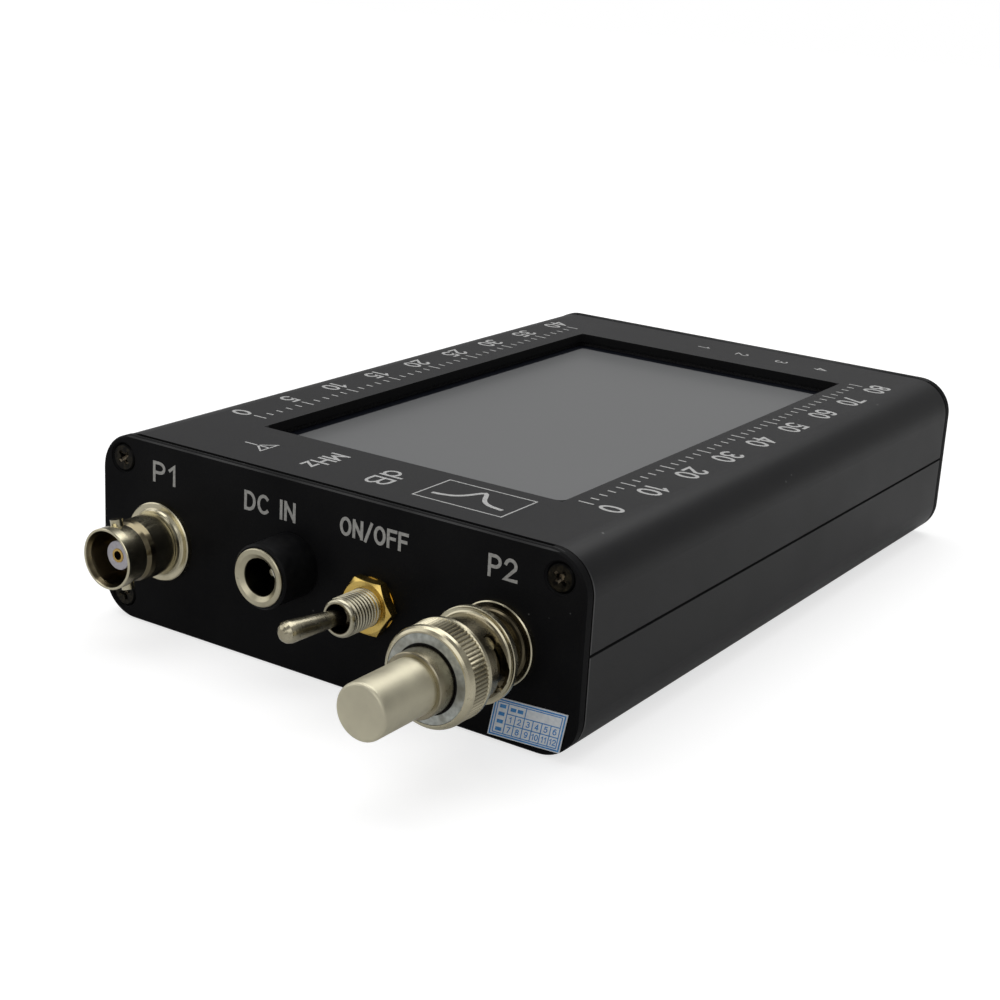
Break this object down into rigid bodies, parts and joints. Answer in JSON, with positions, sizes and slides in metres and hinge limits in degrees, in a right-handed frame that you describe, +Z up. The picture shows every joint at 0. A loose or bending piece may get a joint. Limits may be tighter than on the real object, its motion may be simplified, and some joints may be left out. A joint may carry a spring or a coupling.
{
  "type": "antenna analyzer",
  "caption": "Handheld antenna analyzer: flat box case with a touch display, bayonet coaxial ports, a charging jack, a toggle and a locked terminating cap.",
  "frame": {"origin": "centre of the case's flat underside", "axes": "+X to the right as the front plate is faced, +Y from the front plate to the rear plate, +Z up towards the display"},
  "size_m": [0.09, 0.1661, 0.0305],
  "materials": {
    "case_paint": "fine matt black coating on extruded aluminium",
    "plate_paint": "fine matt black coating on flat aluminium plate",
    "screw_black": "blackened steel",
    "seal_paper": "thin printed sticker",
    "foam": "black foam strip",
    "touch_glass": "satin film over a switched-off grey display",
    "display_cell": "smooth",
    "light_guide": "frosted",
    "steel": "plain sheet steel",
    "ribbon": "amber film",
    "board_blue": "solder mask",
    "board_green": "solder mask",
    "chip_black": "moulded",
    "ferrite": "fired ferrite",
    "pouch": "satin laminated film",
    "plug_white": "moulded",
    "ptfe": "smooth",
    "nickel": "bright nickel plate on brass",
    "zinc": "pale zinc plate",
    "gold": "gold plate on brass",
    "brass": "bright turned brass",
    "seal_rubber": "soft rubber",
    "lead_jacket": "soft jacket",
    "coax_jacket": "soft jacket",
    "ceramic": "glazed ceramic"
  },
  "bodies": {
    "case": {"top_shell": "case_paint", "bottom_shell": "case_paint", "front_plate": "plate_paint", "rear_plate": "plate_paint", "plate_screws": "screw_black", "seal_sticker": "seal_paper", "window_gasket": "foam", "touch_glass": "touch_glass", "lcd_panel": "display_cell", "light_guide": "light_guide", "display_frame": "steel", "display_ribbon": "ribbon", "display_board": "board_blue", "display_header": "gold", "header_socket": "chip_black", "standoffs": "brass", "board_screws": "steel", "main_board": "board_green", "rf_shield": "steel", "processor_chip": "chip_black", "radio_chips": "chip_black", "power_chips": "chip_black", "crystal": "steel", "inductors": "ferrite", "battery": "pouch", "battery_tape": "foam", "battery_socket": "plug_white", "battery_plug": "plug_white", "battery_leads": "lead_jacket", "left_port_body": "nickel", "right_port_body": "nickel", "port_insulators": "ptfe", "port_contacts": "gold", "port_washers": "nickel", "port_ground_tags": "nickel", "port_nuts": "nickel", "coax_leads": "coax_jacket", "dc_jack_body": "chip_black", "dc_jack_ring": "nickel", "dc_jack_pin": "nickel", "dc_jack_leaf": "nickel", "dc_jack_nut": "steel", "toggle_bushing": "nickel", "toggle_case": "chip_black", "toggle_nut": "brass", "toggle_washers": "brass", "toggle_tags": "gold", "panel_leads": "lead_jacket"},
    "lever": {"toggle_lever": "nickel", "toggle_plunger": "brass"},
    "rocker": {"toggle_rocker": "gold"},
    "cap": {"cap_body": "nickel", "cap_barrel": "nickel", "cap_pin": "gold", "cap_insulator": "ptfe", "cap_gasket": "seal_rubber", "cap_resistor": "ceramic"},
    "coupling": {"coupling_nut": "nickel", "coupling_back_ring": "zinc", "coupling_spring": "steel"}
  },
  "joints": [
    {"name": "lever_tilt", "type": "hinge", "parent": "case", "child": "lever", "pos_m": [0.0094, -0.0725, 0.0149], "axis": [0, 0, 1], "range_deg": [0, 20]},
    {"name": "rocker_tilt", "type": "hinge", "parent": "case", "child": "rocker", "pos_m": [0.0094, -0.059, 0.0149], "axis": [0, 0, 1], "range_deg": [-20, 0]},
    {"name": "cap_slide", "type": "slide", "parent": "case", "child": "cap", "axis": [0, -1, 0], "range_m": [0, 0.0016]},
    {"name": "coupling_turn", "type": "hinge", "parent": "cap", "child": "coupling", "pos_m": [0.0312, -0.078, 0.0147], "axis": [0, -1, 0], "range_deg": [0, 70]}
  ],
  "couplings": [
    {"joint": "rocker_tilt", "follows": "lever_tilt", "ratio": -1},
    {"joint": "coupling_turn", "follows": "cap_slide", "rad_per_m": 763.58}
  ]
}
